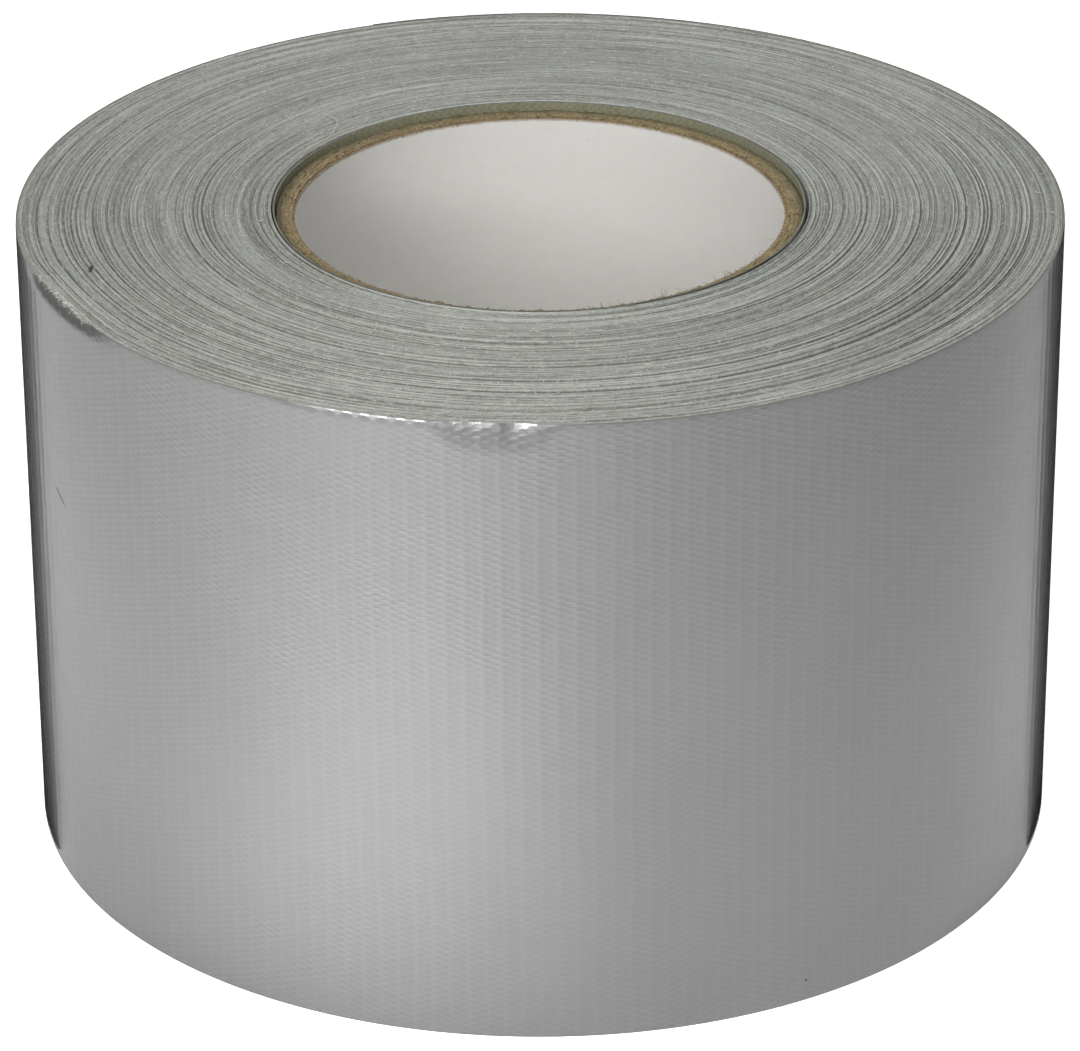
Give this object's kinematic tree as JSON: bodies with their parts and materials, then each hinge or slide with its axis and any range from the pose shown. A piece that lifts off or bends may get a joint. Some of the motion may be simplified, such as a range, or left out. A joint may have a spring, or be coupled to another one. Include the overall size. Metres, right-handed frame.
{
  "type": "duct tape roll",
  "caption": "Wide roll of silver cloth-backed tape wound on a paper core, with a free end that peels back along upright fold lines.",
  "frame": {"origin": "on the roll's axis, at the level of the flat end it rests on", "axes": "+Z along the roll's axis, up from the end it rests on; the tape's free end is on the +Y side"},
  "size_m": [0.1625, 0.1627, 0.1016],
  "materials": {
    "white_paper": "uncoated",
    "brown_board": "cut edge, fibrous",
    "silver_film": "satin, cloth pattern pressed through",
    "woven_scrim": "open weave",
    "olive_adhesive": "tacky",
    "wound_tape": "slit edges of many turns"
  },
  "bodies": {
    "roll": {"core_liner": "white_paper", "core_kraft_ply_1": "brown_board", "core_kraft_ply_2": "brown_board", "core_kraft_ply_3": "brown_board", "core_kraft_ply_4": "brown_board", "first_turn_film": "silver_film", "first_turn_scrim": "woven_scrim", "first_turn_adhesive": "olive_adhesive", "turns_002_to_019": "wound_tape", "turns_020_to_036": "wound_tape", "turns_037_to_054": "wound_tape", "turns_055_to_071": "wound_tape", "turns_072_to_089": "wound_tape", "turns_090_to_107": "wound_tape", "turns_108_to_124": "wound_tape", "turns_125_to_142": "wound_tape", "last_turn_film": "silver_film", "last_turn_scrim": "woven_scrim", "last_turn_adhesive": "olive_adhesive"},
    "tail_1": {"tail_1_film": "silver_film", "tail_1_scrim": "woven_scrim", "tail_1_adhesive": "olive_adhesive"},
    "tail_2": {"tail_2_film": "silver_film", "tail_2_scrim": "woven_scrim", "tail_2_adhesive": "olive_adhesive"},
    "tail_3": {"tail_3_film": "silver_film", "tail_3_scrim": "woven_scrim", "tail_3_adhesive": "olive_adhesive"},
    "tail_4": {"tail_4_film": "silver_film", "tail_4_scrim": "woven_scrim", "tail_4_adhesive": "olive_adhesive"}
  },
  "joints": [
    {"name": "peel_1", "type": "hinge", "parent": "roll", "child": "tail_1", "pos_m": [0.02784, 0.07649, 0.0508], "axis": [0, 0, -1], "range_deg": [0, 42]},
    {"name": "peel_2", "type": "hinge", "parent": "tail_1", "child": "tail_2", "pos_m": [0.01414, 0.08017, 0.0508], "axis": [0, 0, -1], "range_deg": [0, 42]},
    {"name": "peel_3", "type": "hinge", "parent": "tail_2", "child": "tail_3", "pos_m": [0, 0.08142, 0.0508], "axis": [0, 0, -1], "range_deg": [0, 42]},
    {"name": "peel_4", "type": "hinge", "parent": "tail_3", "child": "tail_4", "pos_m": [-0.01414, 0.08019, 0.0508], "axis": [0, 0, -1], "range_deg": [0, 42]}
  ],
  "couplings": [
    {"joint": "peel_2", "follows": "peel_1", "ratio": 1},
    {"joint": "peel_3", "follows": "peel_1", "ratio": 1},
    {"joint": "peel_4", "follows": "peel_1", "ratio": 1}
  ]
}
